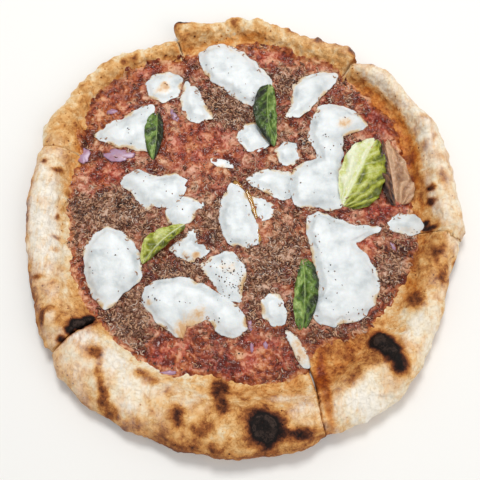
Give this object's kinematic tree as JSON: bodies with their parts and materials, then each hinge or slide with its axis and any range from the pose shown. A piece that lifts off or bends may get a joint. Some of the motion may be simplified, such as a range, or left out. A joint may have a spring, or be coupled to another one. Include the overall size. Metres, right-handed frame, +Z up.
{
  "type": "margherita pizza",
  "caption": "Round baked pizza with a puffed, charred rim, cut into wedges that still lie together, topped with tomato sauce, melted mozzarella and basil leaves.",
  "frame": {"origin": "on the table, under the middle of the pizza", "axes": "+Z up, -Y towards the eater, +X to the eater's right"},
  "size_m": [0.303, 0.3238, 0.0259],
  "materials": {
    "dough": "matte",
    "tomato_sauce": "gloss",
    "mozzarella": "satin",
    "grated_cheese": "satin",
    "char_specks": "matte",
    "basil": "satin",
    "browned_basil": "matte",
    "olive_oil": "gloss"
  },
  "bodies": {
    "root": {"basil_browned": "browned_basil", "basil_front": "basil", "basil_left": "basil", "basil_middle": "basil", "basil_rear": "basil", "basil_right": "basil", "mozzarella_blistered": "mozzarella", "mozzarella_far_right": "mozzarella", "mozzarella_front": "mozzarella", "mozzarella_front_left": "mozzarella", "mozzarella_knob": "mozzarella", "mozzarella_left": "mozzarella", "mozzarella_left_thin": "mozzarella", "mozzarella_left_upper": "mozzarella", "mozzarella_middle": "mozzarella", "mozzarella_peppered": "mozzarella", "mozzarella_pointed": "mozzarella", "mozzarella_rear": "mozzarella", "mozzarella_rear_right": "mozzarella", "mozzarella_right": "mozzarella", "mozzarella_right_upper": "mozzarella", "mozzarella_scrap": "mozzarella", "mozzarella_sliver": "mozzarella", "mozzarella_small_front": "mozzarella", "mozzarella_strip": "mozzarella", "mozzarella_tongue": "mozzarella", "mozzarella_under_leaf": "mozzarella", "mozzarella_wedge": "mozzarella", "slice_1": "dough", "slice_2": "dough", "slice_3": "dough", "slice_4": "dough", "slice_5": "dough", "slice_6": "dough"}
  },
  "joints": []
}
